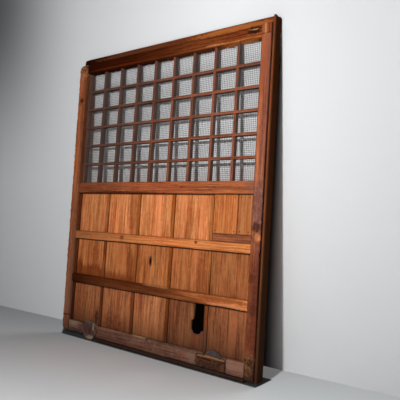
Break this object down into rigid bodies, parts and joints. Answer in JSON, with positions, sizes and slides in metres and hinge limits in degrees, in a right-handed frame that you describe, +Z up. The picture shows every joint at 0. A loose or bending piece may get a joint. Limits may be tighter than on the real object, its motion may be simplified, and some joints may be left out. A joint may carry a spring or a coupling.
{
  "type": "storehouse sliding door leaf",
  "caption": "Wooden sliding door leaf with a lattice backed by wire netting over rows of board panels, a key slot with a drop bolt behind it, and wheels in its bottom rail.",
  "frame": {"origin": "middle of the leaf on the sill that its wheels stand on", "axes": "+Z up, +X to the right seen from the front, front face towards -Y"},
  "size_m": [1.36, 0.06, 1.696],
  "materials": {
    "stile_wood": "old oiled softwood, worn satin",
    "rail_wood": "old oiled softwood, dark and uneven",
    "batten_wood": "old oiled softwood, orange brown",
    "bottom_wood": "bare worn wood, grey brown",
    "panel_wood": "cedar board with fine upright grain",
    "repair_wood": "newer cedar board",
    "filler_wood": "dark reddish wood",
    "lattice_wood": "grey brown lattice bars",
    "wheel_wood": "worn hardwood, grey",
    "bolt_wood": "hardwood, dark",
    "wire": "dull galvanised wire",
    "iron": "dark forged iron"
  },
  "bodies": {
    "leaf": {"bottom_rail": "bottom_wood", "lattice_crossbar_1": "lattice_wood", "lattice_crossbar_2": "lattice_wood", "lattice_crossbar_3": "lattice_wood", "lattice_crossbar_4": "lattice_wood", "lattice_crossbar_5": "lattice_wood", "lattice_upright_1": "lattice_wood", "lattice_upright_10": "lattice_wood", "lattice_upright_2": "lattice_wood", "lattice_upright_3": "lattice_wood", "lattice_upright_4": "lattice_wood", "lattice_upright_5": "lattice_wood", "lattice_upright_6": "lattice_wood", "lattice_upright_7": "lattice_wood", "lattice_upright_8": "lattice_wood", "lattice_upright_9": "lattice_wood", "left_axle": "iron", "left_stile": "stile_wood", "lower_batten": "batten_wood", "lower_bolt_keeper": "bolt_wood", "lower_panel_1": "panel_wood", "lower_panel_2": "panel_wood", "lower_panel_3": "panel_wood", "lower_panel_4": "panel_wood", "lower_panel_5": "panel_wood", "middle_panel_1": "panel_wood", "middle_panel_2": "panel_wood", "middle_panel_3": "panel_wood", "middle_panel_4": "panel_wood", "middle_panel_5": "panel_wood", "middle_rail": "rail_wood", "muntin_1": "panel_wood", "muntin_2": "panel_wood", "muntin_3": "panel_wood", "muntin_4": "panel_wood", "muntin_5": "panel_wood", "narrow_repair_board": "repair_wood", "netting_staples": "wire", "repair_filler": "filler_wood", "repair_nails": "iron", "right_axle": "iron", "right_edge_strip": "stile_wood", "right_stile": "stile_wood", "right_stile_head_patch": "stile_wood", "top_rail": "rail_wood", "upper_batten": "batten_wood", "upper_bolt_keeper": "bolt_wood", "upper_panel_1": "panel_wood", "upper_panel_2": "panel_wood", "upper_panel_3": "panel_wood", "upper_panel_4": "panel_wood", "upper_panel_5": "panel_wood", "wheel_cover": "bottom_wood", "wide_repair_board": "repair_wood", "wire_netting": "wire"},
    "left_wheel": {"left_wheel": "wheel_wood"},
    "right_wheel": {"right_wheel": "wheel_wood"},
    "drop_bolt": {"drop_bolt": "bolt_wood"}
  },
  "joints": [
    {"name": "left_wheel_spin", "type": "hinge", "parent": "leaf", "child": "left_wheel", "pos_m": [-0.432, -0.012, 0.055], "axis": [0, 1, 0], "continuous": true},
    {"name": "right_wheel_spin", "type": "hinge", "parent": "leaf", "child": "right_wheel", "pos_m": [0.432, -0.012, 0.055], "axis": [0, 1, 0], "continuous": true},
    {"name": "bolt_lift", "type": "slide", "parent": "leaf", "child": "drop_bolt", "axis": [0, 0, 1], "range_m": [0, 0.045]}
  ]
}
